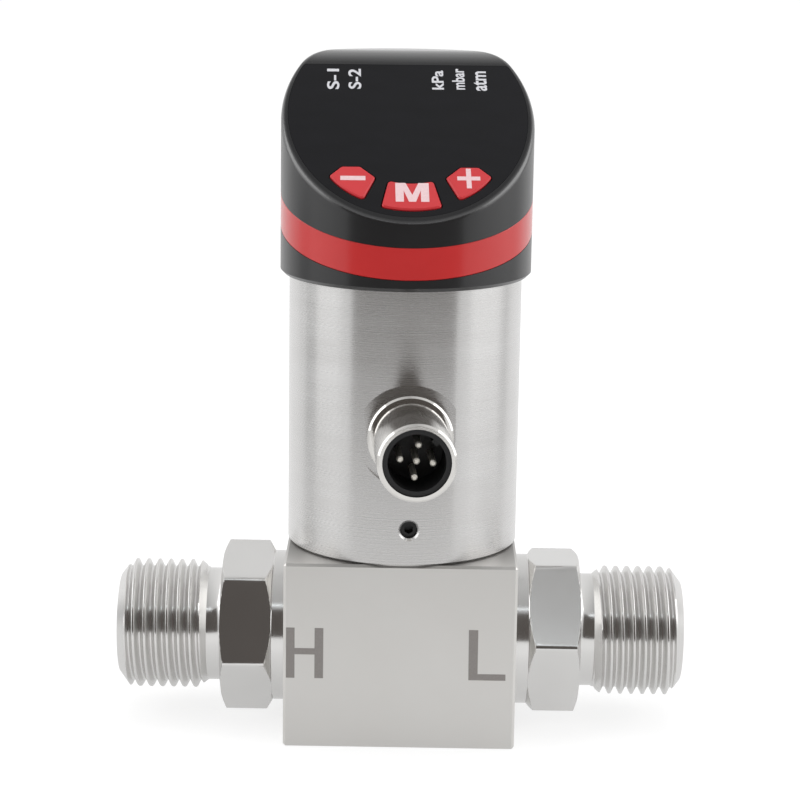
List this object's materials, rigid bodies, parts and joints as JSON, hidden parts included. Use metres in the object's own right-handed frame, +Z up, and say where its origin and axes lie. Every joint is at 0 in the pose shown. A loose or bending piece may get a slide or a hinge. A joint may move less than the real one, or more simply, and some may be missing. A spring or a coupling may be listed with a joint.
{
  "type": "differential pressure transmitter",
  "caption": "Differential pressure transmitter: steel manifold block with side ports, round housing with front cable connector, and a swivelling slanted display head with keys.",
  "frame": {"origin": "centre of the manifold block's flat underside", "axes": "+Z up along the housing and the head's swivel, +X along the ports towards the low-pressure side, -Y towards the cable connector and the keys"},
  "size_m": [0.0914, 0.0552, 0.1072],
  "materials": {
    "satin_steel": "milled and satin",
    "turned_steel": "turned, fine brushed",
    "fitting_steel": "turned bright",
    "thin_steel": "bright",
    "screw_steel": "dark",
    "nickel_plate": "nickel plated",
    "gold_contact": "gold plated",
    "black_insulator": "moulded",
    "black_shell": "fine satin moulded",
    "smoked_window": "smoked gloss",
    "red_ring": "satin moulded",
    "red_key": "satin moulded",
    "circuit_board": "lacquered",
    "milky_plastic": "clear set",
    "lead_sheath": "sheathed wire",
    "seal_rubber": "moulded"
  },
  "bodies": {
    "base": {"manifold_block": "satin_steel", "high_side_fitting": "fitting_steel", "low_side_fitting": "fitting_steel", "high_side_seal": "seal_rubber", "low_side_seal": "seal_rubber", "sensor_cell": "fitting_steel", "high_side_diaphragm": "thin_steel", "low_side_diaphragm": "thin_steel", "sensor_pins": "gold_contact", "sensor_ribbon": "lead_sheath", "housing_tube": "turned_steel", "housing_seal": "seal_rubber", "locking_screw": "screw_steel", "connector_shell": "nickel_plate", "connector_seal": "seal_rubber", "connector_insert": "black_insulator", "contact_pins": "gold_contact", "connector_nut": "nickel_plate", "connector_leads": "lead_sheath", "board_holder": "black_insulator", "main_board": "circuit_board", "board_components": "black_insulator", "lead_socket": "black_insulator", "swivel_collar": "black_insulator"},
    "head": {"head_base": "black_shell", "swivel_seal": "seal_rubber", "colour_ring": "red_ring", "head_cover": "black_shell", "window": "smoked_window", "display_board": "circuit_board", "display_module": "black_insulator", "indicator_lights": "milky_plastic", "key_switches": "black_insulator", "display_screws": "screw_steel", "display_lead": "lead_sheath"},
    "minus_key": {"minus_button": "red_key"},
    "mode_key": {"mode_button": "red_key"},
    "plus_key": {"plus_button": "red_key"}
  },
  "joints": [
    {"name": "head_swivel", "type": "hinge", "parent": "base", "child": "head", "pos_m": [0, 0, 0.0744], "axis": [0, 0, 1], "range_deg": [-165, 165]},
    {"name": "minus_key_press", "type": "slide", "parent": "head", "child": "minus_key", "axis": [-0.0287, 0.5871, -0.809], "range_m": [0, 0.0005], "stiffness_N_per_m": 1000, "springref_m": -0.0005},
    {"name": "mode_key_press", "type": "slide", "parent": "head", "child": "mode_key", "axis": [-0.0287, 0.5871, -0.809], "range_m": [0, 0.0005], "stiffness_N_per_m": 1000, "springref_m": -0.0005},
    {"name": "plus_key_press", "type": "slide", "parent": "head", "child": "plus_key", "axis": [-0.0287, 0.5871, -0.809], "range_m": [0, 0.0005], "stiffness_N_per_m": 1000, "springref_m": -0.0005}
  ]
}
